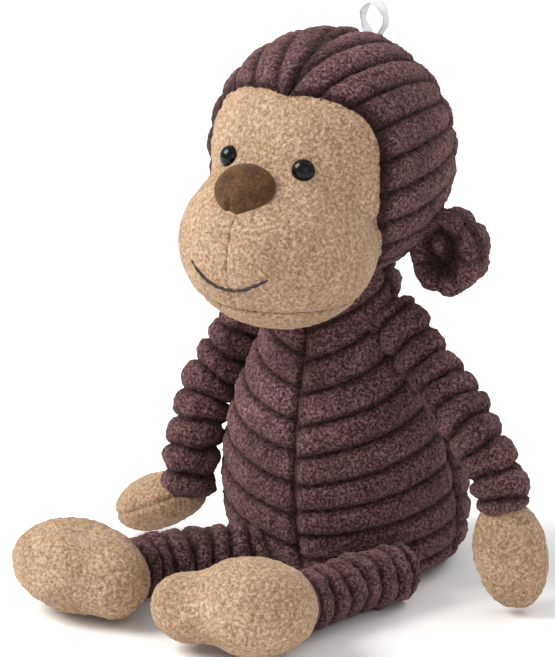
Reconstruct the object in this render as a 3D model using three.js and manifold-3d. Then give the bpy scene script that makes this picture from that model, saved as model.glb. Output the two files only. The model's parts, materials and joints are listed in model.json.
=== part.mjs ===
// Stuffed monkey, sitting, in millimetres. +Z is up, the face looks along -Y, and the monkey's left is +X.
// The origin is on the floor, under the middle of the seat.
import * as THREE from 'three';
import { mergeVertices } from 'three/addons/utils/BufferGeometryUtils.js';
import Module from 'manifold-3d';

const wasm = await Module();
wasm.setup();

// ---- driving dimensions ----
const gap = 0.3;                 // clearance between pieces that touch
const coverWall = 2.6;           // cord plush cover with its pile
const limbWall = 2.0;            // cover of the arms, legs, paws and feet
const earWall = 1.8;

const torsoHeight = 103.5;
const torsoRadius = 48.8;        // widest, just above the seat
const torsoLean = 0.13;          // how far the torso leans towards the face for each mm of height
const torsoTurn = 9;             // degrees that the belly is turned to the monkey's left of the face
const seatThickness = 3;
const pelletRadius = 33;
const pelletTop = 17;

const neckBallRadius = 16.5;
const neckStemRadius = 14.5;
const neckClearance = 0.5;
const neckRimRadius = neckStemRadius + 0.2;      // the ball is this wide where it meets the torso's top
const neckPivotHeight = torsoHeight + Math.sqrt(neckBallRadius ** 2 - neckRimRadius ** 2);

const headRadius = 47.5;
const headBottom = 11;           // the ball of the head starts this far above the neck's pivot
const headCentre = [0, -1.5 - torsoLean * torsoHeight, neckPivotHeight + headBottom + headRadius];
const muzzleHalf = [40, 36, 33];
const muzzleCentre = [0, -38.5 - torsoLean * torsoHeight, neckPivotHeight + 31];
const faceHalfWidth = 40;        // tan forehead patch, seen from the front
const faceHalfHeight = 33;
const faceCentreHeight = headCentre[2] - 1;
const faceBackEdge = -20;        // the patch stays in front of this plane
const backSeam = 6;              // the back panel of the head starts behind this plane
const chinSeamHeight = muzzleCentre[2] - muzzleHalf[2] + 13;

const eyeDiameter = 9;
const eyeSpacing = 34;
const eyeHeight = muzzleCentre[2] + muzzleHalf[2] + 1;
const noseWidth = 25;
const noseHeight = 20;
const noseThickness = 7;
const noseTilt = 42;             // degrees that the nose faces upward
const smileThread = 1.6;
const loopHeight = 13.5;
const loopWidth = 4;             // ribbon width
const loopSpan = 9;
const loopRibbon = 1.2;          // ribbon thickness
const loopY = 15;

const earHalf = [15, 6, 18.5];
const earCentre = [headRadius - 0.5, 0, headCentre[2] - 35.5];
const earClearance = 1.9;        // room for the ear to fold against the head

const armRadius = 10;
const shoulderRadius = 9;
const armUpperLength = 37;
const armLowerLength = 36;
const pawLength = 42.5;          // from the wrist to the tip
const pawHalfWidth = 14.5;
const pawHalfThickness = 11.5;

const legRadius = 11.5;
const legUpperLength = 28;
const legLowerLength = 27;
const legHeight = legRadius + 0.5;   // leg centre above the floor
const footHalf = [30, 22, 18.5];
const footReach = 17;            // from the ankle to the middle of the foot
const soleHeight = 9;            // seam between the sole and the top
const floorClearance = 0.2;

// [share of the widest radius, share of the height]: flat seat, full belly, round shoulders.
const pear = [
  [0, 0], [0.72, 0], [0.82, 0.02], [0.9, 0.058], [0.955, 0.116], [0.99, 0.2], [1, 0.31], [0.982, 0.445],
  [0.915, 0.58], [0.82, 0.7], [0.7, 0.81], [0.58, 0.895], [0.485, 0.947], [0.39, 0.981], [0.32, 1], [0, 1],
];
function torsoRadiusAt(height) {
  const share = height / torsoHeight;
  const next = pear.findIndex(([, z], i) => i > 1 && z >= share);
  const [r0, z0] = pear[next - 1];
  const [r1, z1] = pear[next];
  return torsoRadius * (r0 + (r1 - r0) * (share - z0) / (z1 - z0));
}

// Limb directions at rest. Lengths come from the values above.
const shoulderHeight = torsoHeight - 2.5;
const elbowHeight = shoulderHeight - 0.85 * armUpperLength;
const shoulderAt = [
  torsoRadiusAt(elbowHeight) + armRadius - 14.6, -0.5 - torsoLean * torsoHeight, shoulderHeight,
];
const arms = {
  left: { side: 1, upper: [27, -4, -24], lower: [22, -4.5, -29], paw: [2, 2, -24], flat: [0.55, -0.84, 0] },
  right: { side: -1, upper: [-14, -13, -31], lower: [-4, -12, -33], paw: [-27, 7, -17], flat: [0, 0, 1] },
};
const legs = {
  left: { hipAt: [0.657, -0.754], upper: [-0.2, -0.98], lower: [-0.2, -0.98], foot: [-0.25, -0.97], yaw: 16 },
  right: { hipAt: [-0.391, -0.92], upper: [-0.62, -0.785], lower: [-0.1, -0.995], foot: [-0.3, -0.95], yaw: 4 },
};
const hipReach = torsoRadius + legRadius + 1.2;   // from the middle of the seat to each hip

// ---- materials ----
const colours = {
  cord: [0x5a3c3e, 0.95],
  plush: [0xb59273, 0.95],
  suede: [0x5a3e2f, 0.85],
  filling: [0xefece4, 1],
  pellets: [0xd9d4c8, 0.8],
  eye: [0x0b0b0d, 0.08],
  washer: [0xe8e6e0, 0.5],
  thread: [0x241c1c, 0.7],
  ribbon: [0xf2f2f2, 0.35],
};
const finish = (kind) => new THREE.MeshStandardMaterial({
  color: colours[kind][0], roughness: colours[kind][1], metalness: 0,
});

const monkey = new THREE.Group();
function addNode(name, kind, geometry) {
  const mesh = new THREE.Mesh(geometry, finish(kind));
  mesh.name = name;
  monkey.add(mesh);
  return mesh;
}

// ---- solids ----
function toSolid(geometry) {
  const bare = geometry.index ? geometry.toNonIndexed() : geometry.clone();
  bare.deleteAttribute('normal');
  bare.deleteAttribute('uv');
  const merged = mergeVertices(bare, 1e-4);
  const index = Array.from(merged.index.array);
  const triangles = [];
  for (let i = 0; i < index.length; i += 3) {
    const [a, b, c] = index.slice(i, i + 3);
    if (a !== b && b !== c && c !== a) triangles.push(a, b, c);
  }
  return new wasm.Manifold(new wasm.Mesh({
    numProp: 3,
    vertProperties: new Float32Array(merged.attributes.position.array),
    triVerts: new Uint32Array(triangles),
  }));
}

function toGeometry(solid) {
  const mesh = solid.getMesh();
  const geometry = new THREE.BufferGeometry();
  geometry.setAttribute('position', new THREE.BufferAttribute(new Float32Array(mesh.vertProperties), 3));
  geometry.setIndex(new THREE.BufferAttribute(new Uint32Array(mesh.triVerts), 1));
  geometry.computeVertexNormals();
  return geometry;
}

function ellipsoid(centre, half, around = 16, rows = 12) {
  const geometry = new THREE.SphereGeometry(1, around, rows);
  geometry.rotateX(Math.PI / 2);
  geometry.scale(...half);
  geometry.translate(...centre);
  return toSolid(geometry);
}

const grown = (half, by) => half.map((h) => h + by);

function block(low, high) {
  const size = high.map((h, i) => h - low[i]);
  const geometry = new THREE.BoxGeometry(...size);
  geometry.translate(...low.map((l, i) => l + size[i] / 2));
  return toSolid(geometry);
}

function uprightCylinder(x, y, low, high, radius, sides = 18) {
  const geometry = new THREE.CylinderGeometry(radius, radius, high - low, sides);
  geometry.rotateX(Math.PI / 2);
  geometry.translate(x, y, (low + high) / 2);
  return toSolid(geometry);
}

// A lathe about +Z from [radius, height] points, listed either way round.
function turned(points, sides) {
  const profile = points.map(([r, z]) => new THREE.Vector2(r, z));
  if (THREE.ShapeUtils.area(profile) < 0) profile.reverse();
  const geometry = new THREE.LatheGeometry(profile, sides);
  geometry.rotateX(Math.PI / 2);
  return geometry;
}

const far = 400;
const halfSpace = {
  right: (x) => block([-far, -far, -far], [x, far, far]),
  left: (x) => block([x, -far, -far], [far, far, far]),
  front: (y) => block([-far, -far, -far], [far, y, far]),
  back: (y) => block([-far, y, -far], [far, far, far]),
  below: (z) => block([-far, -far, -far], [far, far, z]),
  above: (z) => block([-far, -far, z], [far, far, far]),
};

// ---- torso ----
const leanForward = new THREE.Matrix4().set(1, 0, 0, 0, 0, 1, -torsoLean, 0, 0, 0, 1, 0, 0, 0, 0, 1);
const turnBelly = new THREE.Matrix4().makeRotationZ(THREE.MathUtils.degToRad(torsoTurn));

function torsoForm(inset) {
  const points = pear.map(([r, z]) => {
    const radius = r === 0 ? 0 : Math.max(r * torsoRadius - inset, 1);
    const height = Math.min(Math.max(z * torsoHeight, inset), torsoHeight - inset);
    return [radius, height];
  });
  const geometry = turned(points, 18);
  geometry.rotateZ(Math.PI / 18);
  return toSolid(geometry.applyMatrix4(leanForward));
}

const neckY = -torsoLean * torsoHeight;
const neckOpening = uprightCylinder(0, neckY, 80, 130, neckStemRadius + neckClearance);
const torsoOuter = torsoForm(0);
const torsoInner = torsoForm(coverWall);
const torsoShell = torsoOuter.subtract(torsoInner).subtract(neckOpening)
  .intersect(halfSpace.above(seatThickness + gap));
const quarters = {
  torso_front_left: ['left', 'front'],
  torso_front_right: ['right', 'front'],
  torso_back_left: ['left', 'back'],
  torso_back_right: ['right', 'back'],
};
function turnSolid(solid, matrix) {
  return toSolid(toGeometry(solid).applyMatrix4(matrix));
}
for (const [name, [side, face]] of Object.entries(quarters)) {
  const sideEdge = side === 'left' ? gap / 2 : -gap / 2;
  const faceEdge = (face === 'front' ? -gap / 2 : gap / 2) - torsoLean * torsoHeight / 2;
  const quarter = turnSolid(halfSpace[side](sideEdge).intersect(halfSpace[face](faceEdge)), turnBelly);
  addNode(name, 'cord', toGeometry(torsoShell.intersect(quarter)));
}
addNode('seat_panel', 'cord', toGeometry(torsoOuter.intersect(halfSpace.below(seatThickness))));

const pelletFloor = seatThickness + gap;
const pelletBag = toSolid(turned([
  [0, pelletTop], [pelletRadius * 0.8, pelletTop], [pelletRadius, (pelletTop + pelletFloor) / 2],
  [pelletRadius * 0.85, pelletFloor], [0, pelletFloor],
], 14));
addNode('pellet_bag', 'pellets', toGeometry(pelletBag));
const neckStemFloor = torsoHeight - 14;
const torsoFilling = torsoForm(coverWall + gap)
  .intersect(halfSpace.above(pelletTop + gap))
  .intersect(halfSpace.below(neckStemFloor - gap));
addNode('torso_stuffing', 'filling', toGeometry(torsoFilling));

// ---- neck: a firm plug of filling that stands in the neck opening, with a round top inside the head ----
const ballPoints = [];
const ballSteps = 5;
const stemMeets = Math.acos(Math.min(0.98, neckStemRadius / neckBallRadius));
for (let i = 0; i <= ballSteps; i += 1) {
  const angle = Math.PI / 2 - (Math.PI / 2 + stemMeets) * (i / ballSteps);
  ballPoints.push([
    i === 0 ? 0 : neckBallRadius * Math.cos(angle), neckPivotHeight + neckBallRadius * Math.sin(angle),
  ]);
}
const neckPlug = turned([
  ...ballPoints, [neckStemRadius, neckStemFloor + 1.5],
  [neckStemRadius - 1.5, neckStemFloor], [0, neckStemFloor],
], 18);
addNode('neck_plug', 'filling', neckPlug.translate(0, neckY, 0));

// ---- head ----
const neckPivot = [0, neckY, neckPivotHeight];
const neckSocket = ellipsoid(neckPivot, grown([0, 0, 0], neckBallRadius + neckClearance), 16, 10);
const headHalf = [headRadius, headRadius, headRadius];
const skull = (by) => ellipsoid(headCentre, grown(headHalf, by), 18, 12);
const muzzle = (by) => ellipsoid(muzzleCentre, grown(muzzleHalf, by), 14, 10);
const skullShell = skull(0).subtract(skull(-coverWall)).subtract(muzzle(gap)).subtract(neckSocket);
const muzzleShell = muzzle(0).subtract(muzzle(-coverWall)).subtract(skull(gap)).subtract(neckSocket);

function faceZone(extra) {
  const geometry = new THREE.CylinderGeometry(1, 1, far, 20);
  geometry.scale(faceHalfWidth + extra, 1, faceHalfHeight + extra);
  geometry.translate(0, faceBackEdge + extra - far / 2, faceCentreHeight);
  return toSolid(geometry);
}
const hoodShell = skullShell.subtract(faceZone(gap));
addNode('head_side_left', 'cord', toGeometry(
  largest(hoodShell.intersect(halfSpace.front(backSeam)).intersect(halfSpace.left(gap / 2)))));
addNode('head_side_right', 'cord', toGeometry(
  largest(hoodShell.intersect(halfSpace.front(backSeam)).intersect(halfSpace.right(-gap / 2)))));
addNode('head_back', 'cord', toGeometry(largest(hoodShell.intersect(halfSpace.back(backSeam + gap)))));

const muzzleAboveChin = muzzleShell.intersect(halfSpace.above(chinSeamHeight + gap / 2));
addNode('muzzle_left', 'plush', toGeometry(largest(muzzleAboveChin.intersect(halfSpace.left(gap / 2)))));
addNode('muzzle_right', 'plush', toGeometry(largest(muzzleAboveChin.intersect(halfSpace.right(-gap / 2)))));
addNode('chin_panel', 'plush', toGeometry(
  largest(muzzleShell.intersect(halfSpace.below(chinSeamHeight - gap / 2)))));

// Booleans on curved shells can leave specks, so only the biggest body of a cut is kept.
function largest(solid) {
  const bodies = solid.decompose();
  bodies.sort((a, b) => b.volume() - a.volume());
  return bodies[0];
}

// ---- eyes: a glossy dome on a shank, held by a washer behind the cover ----
function skullFront(x, z) {
  const dx = x - headCentre[0];
  const dz = z - headCentre[2];
  return headCentre[1] - Math.sqrt(headRadius ** 2 - dx ** 2 - dz ** 2);
}
function aimed(geometry, at, direction) {
  const turn = new THREE.Quaternion().setFromUnitVectors(
    new THREE.Vector3(0, 0, 1), new THREE.Vector3(...direction).normalize());
  geometry.applyQuaternion(turn);
  return geometry.translate(...at);
}
const eyeRadius = eyeDiameter / 2;
const shankRadius = 1.2;
const washerRadius = 4.5;
const washerThickness = 1.4;
const facetSag = 0.0295 * headRadius;   // the flat facets of the cover lie this far inside the true ball
const domeRise = eyeRadius * 0.8;
const eyeSolids = {};
for (const side of ['left', 'right']) {
  const x = (side === 'left' ? 1 : -1) * eyeSpacing / 2;
  const at = [x, skullFront(x, eyeHeight), eyeHeight];
  const outward = at.map((v, i) => v - headCentre[i]);
  const backOfDome = gap;
  const shankEnd = -(coverWall + facetSag + washerThickness + 2);
  const dome = turned([
    [0, backOfDome + domeRise], [eyeRadius * 0.5, backOfDome + domeRise * 0.86],
    [eyeRadius * 0.86, backOfDome + domeRise * 0.5], [eyeRadius, backOfDome + domeRise * 0.12],
    [eyeRadius * 0.94, backOfDome], [shankRadius, backOfDome], [shankRadius, shankEnd], [0, shankEnd],
  ], 12);
  const washerFace = -(coverWall + facetSag);
  const washer = turned([
    [shankRadius + gap, washerFace], [washerRadius, washerFace],
    [washerRadius, washerFace - washerThickness], [shankRadius + gap, washerFace - washerThickness],
    [shankRadius + gap, washerFace],
  ], 10);
  eyeSolids[side] = { dome: toSolid(aimed(dome, at, outward)), washer: toSolid(aimed(washer, at, outward)) };
  const pocket = turned([
    [0, 1], [washerRadius + gap, 1], [washerRadius + gap, shankEnd - gap], [0, shankEnd - gap],
  ], 10);
  eyeSolids[side].pocket = toSolid(aimed(pocket, at, outward));
  const hole = turned([
    [0, 6], [shankRadius + gap, 6], [shankRadius + gap, shankEnd], [0, shankEnd],
  ], 8);
  eyeSolids[side].hole = toSolid(aimed(hole, at, outward));
  addNode(`eye_${side}`, 'eye', toGeometry(eyeSolids[side].dome));
  addNode(`eye_washer_${side}`, 'washer', toGeometry(eyeSolids[side].washer));
}

const foreheadPanel = skullShell.intersect(faceZone(0))
  .subtract(eyeSolids.left.hole).subtract(eyeSolids.right.hole);
addNode('forehead_panel', 'plush', toGeometry(largest(foreheadPanel)));

// One filling for the ball of the head and one for the muzzle, which meet inside the face.
const eyePockets = eyeSolids.left.pocket.add(eyeSolids.right.pocket);
const skullFilling = skull(-coverWall - gap).subtract(neckSocket).subtract(eyePockets);
const muzzleFilling = muzzle(-coverWall - gap).subtract(skull(-coverWall))
  .subtract(neckSocket).subtract(eyePockets);
addNode('head_stuffing', 'filling', toGeometry(largest(skullFilling)));
addNode('muzzle_stuffing', 'filling', toGeometry(largest(muzzleFilling)));

// ---- nose: a padded suede oval on the front of the muzzle ----
const noseAngle = THREE.MathUtils.degToRad(noseTilt);
const nosePoint = [
  0,
  muzzleCentre[1] - muzzleHalf[1] * Math.cos(noseAngle),
  muzzleCentre[2] + muzzleHalf[2] * Math.sin(noseAngle),
];
const noseOutward = [0, -Math.cos(noseAngle) / muzzleHalf[1], Math.sin(noseAngle) / muzzleHalf[2]];
function noseForm(inset) {
  const geometry = new THREE.SphereGeometry(1, 12, 6);
  geometry.scale(noseWidth / 2 - inset, noseHeight / 2 - inset, noseThickness - inset);
  return toSolid(aimed(geometry, nosePoint, noseOutward));
}
const noseWall = 1.2;
const headClear = skull(gap).add(muzzle(gap));
const noseOuter = noseForm(0).subtract(headClear);
addNode('nose_cover', 'suede', toGeometry(largest(noseOuter.subtract(noseForm(noseWall)))));
addNode('nose_padding', 'filling', toGeometry(largest(noseForm(noseWall + gap).subtract(headClear))));

// ---- smile: one line of thick thread that follows the muzzle ----
const smileLeftEnd = [17, muzzleCentre[2] - 4];
const smileRightEnd = [-19, muzzleCentre[2] - 2.5];
const smileLow = [-1, muzzleCentre[2] - 11];
function onMuzzle([x, z], proud) {
  const half = grown(muzzleHalf, proud);
  const dx = x / half[0];
  const dz = (z - muzzleCentre[2]) / half[2];
  return new THREE.Vector3(x, muzzleCentre[1] - half[1] * Math.sqrt(1 - dx * dx - dz * dz), z);
}
const smileSteps = 8;
const smileArc = new THREE.QuadraticBezierCurve(
  new THREE.Vector2(...smileRightEnd),
  new THREE.Vector2(
    2 * smileLow[0] - (smileRightEnd[0] + smileLeftEnd[0]) / 2,
    2 * smileLow[1] - (smileRightEnd[1] + smileLeftEnd[1]) / 2),
  new THREE.Vector2(...smileLeftEnd));
const smileProud = smileThread / 2 + 2 * gap;
const smilePath = new THREE.CatmullRomCurve3(
  smileArc.getPoints(smileSteps).map((p) => onMuzzle([p.x, p.y], smileProud)));
const threadSection = new THREE.Shape();
threadSection.absarc(0, 0, smileThread / 2, 0, Math.PI * 2);
addNode('mouth_stitch', 'thread', new THREE.ExtrudeGeometry(threadSection, {
  steps: smileSteps * 2, extrudePath: smilePath, curveSegments: 2,
}));

// ---- hang loop: a ribbon folded into a loop, its tails caught in the seam on top of the head ----
const loopFoot = headCentre[2] + Math.sqrt(headRadius ** 2 - (loopY - headCentre[1]) ** 2);
const loopOutline = new THREE.Shape();
const loopTop = loopHeight - loopSpan / 2;
function tracePetal(shape, halfSpan, foot, topCentre) {
  shape.moveTo(foot, -3);
  shape.lineTo(foot, 0);
  shape.bezierCurveTo(foot, 3, halfSpan, topCentre - 5, halfSpan, topCentre);
  shape.absarc(0, topCentre, halfSpan, 0, Math.PI);
  shape.bezierCurveTo(-halfSpan, topCentre - 5, -foot, 3, -foot, 0);
  shape.lineTo(-foot, -3);
}
tracePetal(loopOutline, loopSpan / 2, 2, loopTop);
const loopEye = new THREE.Path();
const eyeSpan = loopSpan / 2 - loopRibbon;
loopEye.moveTo(0, 1.5);
loopEye.bezierCurveTo(0, 1.5, eyeSpan, loopTop - 4.5, eyeSpan, loopTop);
loopEye.absarc(0, loopTop, eyeSpan, 0, Math.PI);
loopEye.bezierCurveTo(-eyeSpan, loopTop - 4.5, 0, 1.5, 0, 1.5);
loopOutline.holes.push(loopEye);
const loopBody = new THREE.ExtrudeGeometry(loopOutline, { depth: loopWidth, bevelEnabled: false, curveSegments: 4 });
loopBody.rotateX(Math.PI / 2);
loopBody.translate(0, loopY + loopWidth / 2, loopFoot);
addNode('hang_loop', 'ribbon', toGeometry(largest(toSolid(loopBody).subtract(headClear))));

// ---- ears: two cord discs with a thin wadding between them ----
const earRoom = skull(earClearance);
for (const [side, sign] of [['left', 1], ['right', -1]]) {
  const centre = [sign * earCentre[0], earCentre[1], earCentre[2]];
  const outer = ellipsoid(centre, earHalf, 12, 8).subtract(earRoom);
  const hollow = ellipsoid(centre, grown(earHalf, -earWall), 12, 8);
  const shell = outer.subtract(hollow);
  addNode(`ear_${side}_front`, 'cord', toGeometry(largest(shell.intersect(halfSpace.front(earCentre[1] - gap / 2)))));
  addNode(`ear_${side}_back`, 'cord', toGeometry(largest(shell.intersect(halfSpace.back(earCentre[1] + gap / 2)))));
  addNode(`ear_${side}_wadding`, 'filling', toGeometry(
    largest(ellipsoid(centre, grown(earHalf, -earWall - gap), 12, 8).subtract(earRoom))));
}

// ---- limbs ----
function unit(v) {
  return new THREE.Vector3(...v).normalize();
}
function along(from, direction, length) {
  return unit(direction).multiplyScalar(length).add(new THREE.Vector3(...from)).toArray();
}
function arcPoints(radius, centre, fromDegrees, toDegrees, steps) {
  return Array.from({ length: steps + 1 }, (_, i) => {
    const angle = THREE.MathUtils.degToRad(fromDegrees + (toDegrees - fromDegrees) * (i / steps));
    const r = radius * Math.cos(angle);
    return [Math.abs(r) < 1e-6 ? 0 : r, centre + radius * Math.sin(angle)];
  });
}

// A fabric tube with a round far end. The near end is round with a small opening, or open straight across.
function sleeveProfile(startRadius, radius, length, wall, roundStart) {
  const layer = (inset) => {
    const end = arcPoints(radius - inset, length, 90, 0, 3);
    if (roundStart) return [...end, ...arcPoints(startRadius - inset, 0, 0, -60, 2)];
    return [...end, [radius - inset, radius + gap]];
  };
  return [...layer(0), ...layer(wall).reverse()];
}
function fillingProfile(startRadius, radius, length, inset, roundStart) {
  const end = arcPoints(radius - inset, length, 90, 0, 3);
  if (roundStart) return [...end, ...arcPoints(startRadius - inset, 0, 0, -60, 2), [0, -0.87 * (startRadius - inset)]];
  return [...end, [radius - inset, radius + 2 * gap], [0, radius + 2 * gap]];
}
const tubeSides = 10;
function addTube(name, kind, from, direction, startRadius, radius, length, roundStart) {
  const sleeve = turned(sleeveProfile(startRadius, radius, length, limbWall, roundStart), tubeSides);
  addNode(`${name}_sleeve`, kind, toGeometry(toSolid(aimed(sleeve, from, direction))));
  const filling = turned(fillingProfile(startRadius, radius, length, limbWall + gap, roundStart), tubeSides);
  addNode(`${name}_stuffing`, 'filling', toGeometry(toSolid(aimed(filling, from, direction))));
}

// A frame with +Z along the limb and +Y across its flat side.
function limbFrame(at, direction, flat) {
  const z = unit(direction);
  const x = new THREE.Vector3().crossVectors(unit(flat), z).normalize();
  const y = new THREE.Vector3().crossVectors(z, x);
  return new THREE.Matrix4().makeBasis(x, y, z).setPosition(...at);
}

for (const [side, arm] of Object.entries(arms)) {
  const shoulder = [arm.side * shoulderAt[0], shoulderAt[1], shoulderAt[2]];
  const elbow = along(shoulder, arm.upper, armUpperLength);
  const wrist = along(elbow, arm.lower, armLowerLength);
  addTube(`arm_${side}_upper`, 'cord', shoulder, arm.upper, shoulderRadius, armRadius, armUpperLength, true);
  addTube(`arm_${side}_lower`, 'cord', elbow, arm.lower, armRadius, armRadius, armLowerLength, false);

  const pawStart = armRadius + gap;
  const pawMiddle = (pawLength + pawStart - 4) / 2;
  const mitt = (inset) => {
    const geometry = new THREE.SphereGeometry(1, 10, 8);
    geometry.scale(pawHalfWidth - inset, pawHalfThickness - inset, pawLength - pawMiddle - inset);
    geometry.translate(0, 0, pawMiddle);
    return toSolid(geometry);
  };
  const place = limbFrame(wrist, arm.paw, arm.flat);
  const cuff = halfSpace.above(pawStart);
  const shell = mitt(0).subtract(mitt(limbWall)).intersect(cuff);
  for (const [face, half] of [['front', halfSpace.back(gap / 2)], ['back', halfSpace.front(-gap / 2)]]) {
    addNode(`paw_${side}_${face}`, 'plush', toGeometry(turnSolid(largest(shell.intersect(half)), place)));
  }
  const filling = mitt(limbWall + gap).intersect(halfSpace.above(pawStart + gap));
  addNode(`paw_${side}_stuffing`, 'filling', toGeometry(turnSolid(filling, place)));
}

for (const [side, leg] of Object.entries(legs)) {
  const hip = [...leg.hipAt.map((share) => share * hipReach), legHeight];
  const upper = [...leg.upper, 0];
  const lower = [...leg.lower, 0];
  const knee = along(hip, upper, legUpperLength);
  const ankle = along(knee, lower, legLowerLength);
  addTube(`leg_${side}_upper`, 'cord', hip, upper, legRadius, legRadius, legUpperLength, true);
  addTube(`leg_${side}_lower`, 'cord', knee, lower, legRadius, legRadius, legLowerLength, false);

  const footCentre = along(ankle, [...leg.foot, 0], footReach);
  footCentre[2] = footHalf[2] - 0.5;
  const footForm = (inset) => {
    const geometry = new THREE.SphereGeometry(1, 12, 8);
    geometry.scale(...grown(footHalf, -inset));
    geometry.rotateZ(THREE.MathUtils.degToRad(leg.yaw));
    geometry.translate(...footCentre);
    return toSolid(geometry);
  };
  const beyondAnkle = (start) => turnSolid(halfSpace.above(start), limbFrame(ankle, lower, [0, 0, 1]));
  const floor = floorClearance;
  const clip = halfSpace.above(floor).intersect(beyondAnkle(legRadius + gap));
  const shell = footForm(0).intersect(clip)
    .subtract(footForm(limbWall).intersect(halfSpace.above(floor + limbWall)));
  addNode(`foot_${side}_top`, 'plush', toGeometry(largest(shell.intersect(halfSpace.above(soleHeight + gap / 2)))));
  addNode(`foot_${side}_sole`, 'plush', toGeometry(largest(shell.intersect(halfSpace.below(soleHeight - gap / 2)))));
  const filling = footForm(limbWall + gap).intersect(beyondAnkle(legRadius + 2 * gap))
    .intersect(halfSpace.above(floor + limbWall + gap));
  addNode(`foot_${side}_stuffing`, 'filling', toGeometry(largest(filling)));
}

export default monkey;
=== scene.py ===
import json
import math

import bmesh
import bpy
import numpy as np
from mathutils import Euler, Matrix, Quaternion, Vector
from mathutils.bvhtree import BVHTree


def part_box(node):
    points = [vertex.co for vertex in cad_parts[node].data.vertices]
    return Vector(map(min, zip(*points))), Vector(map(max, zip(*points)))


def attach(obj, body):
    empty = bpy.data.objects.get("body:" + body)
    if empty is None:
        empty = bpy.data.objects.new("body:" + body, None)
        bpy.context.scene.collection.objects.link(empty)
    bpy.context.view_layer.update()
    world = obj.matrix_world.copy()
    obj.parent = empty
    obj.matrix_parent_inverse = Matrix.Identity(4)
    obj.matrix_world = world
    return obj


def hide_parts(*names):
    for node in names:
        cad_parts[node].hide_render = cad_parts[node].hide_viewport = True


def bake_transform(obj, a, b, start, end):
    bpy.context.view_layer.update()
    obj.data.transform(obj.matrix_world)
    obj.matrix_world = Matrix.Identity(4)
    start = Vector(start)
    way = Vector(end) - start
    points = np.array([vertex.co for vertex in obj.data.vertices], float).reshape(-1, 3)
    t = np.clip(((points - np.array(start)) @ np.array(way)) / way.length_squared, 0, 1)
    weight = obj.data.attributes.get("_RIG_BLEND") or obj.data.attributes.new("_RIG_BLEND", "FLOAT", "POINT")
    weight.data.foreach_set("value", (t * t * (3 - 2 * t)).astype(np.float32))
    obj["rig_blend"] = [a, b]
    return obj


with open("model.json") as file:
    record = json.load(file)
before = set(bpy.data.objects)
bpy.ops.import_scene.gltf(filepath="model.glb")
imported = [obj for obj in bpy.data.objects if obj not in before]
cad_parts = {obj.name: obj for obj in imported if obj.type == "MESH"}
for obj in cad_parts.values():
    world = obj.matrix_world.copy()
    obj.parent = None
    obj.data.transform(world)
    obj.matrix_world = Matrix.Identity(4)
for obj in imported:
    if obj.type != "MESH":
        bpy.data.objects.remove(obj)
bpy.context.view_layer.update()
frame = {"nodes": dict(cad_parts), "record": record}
scene = bpy.context.scene
scene.view_settings.view_transform = "Standard"
mm = 0.001
floorGap = 0.4 * mm
print("frame loaded:", len(frame["nodes"]), "nodes")


# small helpers
def middle(node):
    low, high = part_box(node)
    return (low + high) / 2


def pivot(name):
    return next(Vector(j["pos_m"]) for j in frame["record"]["behaviour"]["joints"] if j["name"] == name)


def toObject(name, form):
    mesh = bpy.data.meshes.new(name)
    form.to_mesh(mesh)
    form.free()
    made = bpy.data.objects.new(name, mesh)
    scene.collection.objects.link(made)
    return made


def readPoints(mesh, what="co"):
    flat = np.empty(len(mesh.vertices) * 3)
    mesh.vertices.foreach_get(what, flat)
    return flat.reshape(-1, 3)


def writePoints(mesh, points):
    mesh.vertices.foreach_set("co", points.ravel())
    mesh.update()


def bake(piece):
    graph = bpy.context.evaluated_depsgraph_get()
    mesh = bpy.data.meshes.new_from_object(piece.evaluated_get(graph))
    old = piece.data
    mesh.name = old.name + "_baked"
    piece.modifiers.clear()
    piece.data = mesh
    bpy.data.meshes.remove(old)
    return piece


def smoothShade(piece):
    piece.data.polygons.foreach_set("use_smooth", [True] * len(piece.data.polygons))


def softNoise(points, size, seed):
    # value noise on a wrapped lattice, from -1 to 1
    side = 48
    grid = np.random.default_rng(seed).uniform(-1, 1, (side, side, side))
    place = points / size + 1000.0
    cell = np.floor(place).astype(int)
    part = place - cell
    part = part * part * (3 - 2 * part)
    total = np.zeros(len(points))
    for corner in range(8):
        step = np.array([corner & 1, (corner >> 1) & 1, (corner >> 2) & 1])
        weight = np.prod(np.where(step == 1, part, 1 - part), axis=1)
        index = (cell + step) % side
        total += weight * grid[index[:, 0], index[:, 1], index[:, 2]]
    return total


def relax(mesh, rounds, chosen=lambda vert: True):
    form = bmesh.new()
    form.from_mesh(mesh)
    for _ in range(rounds):
        verts = [v for v in form.verts if chosen(v)]
        axes = {"use_axis_x": True, "use_axis_y": True, "use_axis_z": True}
        bmesh.ops.smooth_vert(form, verts=verts, factor=0.5, **axes)
    form.to_mesh(mesh)
    form.free()


def keepAbove(mesh, height):
    points = readPoints(mesh)
    points[:, 2] = np.maximum(points[:, 2], height)
    writePoints(mesh, points)


def bell(distance, width):
    return np.exp(-(distance / width) ** 2)


def smoothStep(value, low, high):
    t = np.clip((value - low) / (high - low), 0, 1)
    return t * t * (3 - 2 * t)


# writes a point attribute; the one named groove is the painted shade mask read by the cord and plush finishes,
# 1 for full colour and lower where shade is painted
def addGroove(mesh, name, values):
    layer = mesh.attributes.get(name) or mesh.attributes.new(name, "FLOAT", "POINT")
    layer.data.foreach_set("value", np.asarray(values, dtype=np.float32))


# shader wiring
class Wire:
    def __init__(self, finish, socket):
        self.finish = finish
        self.socket = socket

    def maths(self, operation, first, second):
        return self.finish.node("ShaderNodeMath", {"operation": operation}, {0: first, 1: second})

    def __add__(self, other):
        return self.maths("ADD", self, other)

    def __radd__(self, other):
        return self.maths("ADD", other, self)

    def __mul__(self, other):
        return self.maths("MULTIPLY", self, other)

    def __rmul__(self, other):
        return self.maths("MULTIPLY", other, self)


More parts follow.
